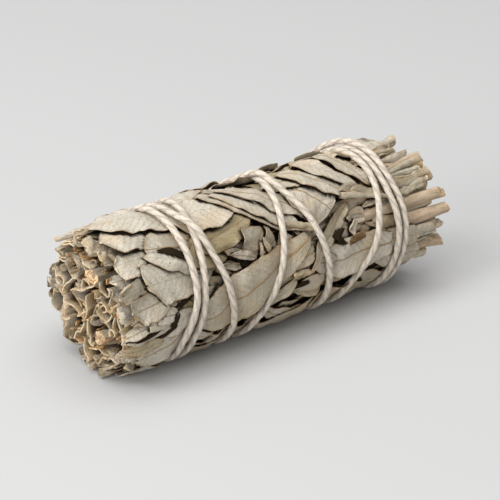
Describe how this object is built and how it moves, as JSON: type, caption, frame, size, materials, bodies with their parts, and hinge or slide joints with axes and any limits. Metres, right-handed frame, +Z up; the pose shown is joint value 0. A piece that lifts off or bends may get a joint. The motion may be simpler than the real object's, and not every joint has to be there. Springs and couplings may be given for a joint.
{
  "type": "sage bunch",
  "caption": "Round stick of dried pale leaves pressed round woody stems and bound with slanting turns of cotton twine, lying on its side.",
  "frame": {"origin": "on the surface that the bunch lies on, below the middle of its length and width", "axes": "+X along the bunch to the stem end, +Z up, -Y to the front side"},
  "size_m": [0.102, 0.0387, 0.0388],
  "materials": {
    "dry_leaf": "dry, matt leaf with a soft pale down, fine veins and thin tan edges",
    "dry_stem": "dry woody stalk with fine lengthwise grain and a light cut end",
    "cotton_twine": "undyed twisted cotton, matt, with visible plies"
  },
  "bodies": {
    "root": {"leaf_bunch": "dry_leaf", "stem_01": "dry_stem", "stem_02": "dry_stem", "stem_03": "dry_stem", "stem_04": "dry_stem", "stem_05": "dry_stem", "stem_06": "dry_stem", "stem_07": "dry_stem", "stem_08": "dry_stem", "stem_09": "dry_stem", "stem_10": "dry_stem", "twine": "cotton_twine"}
  },
  "joints": []
}
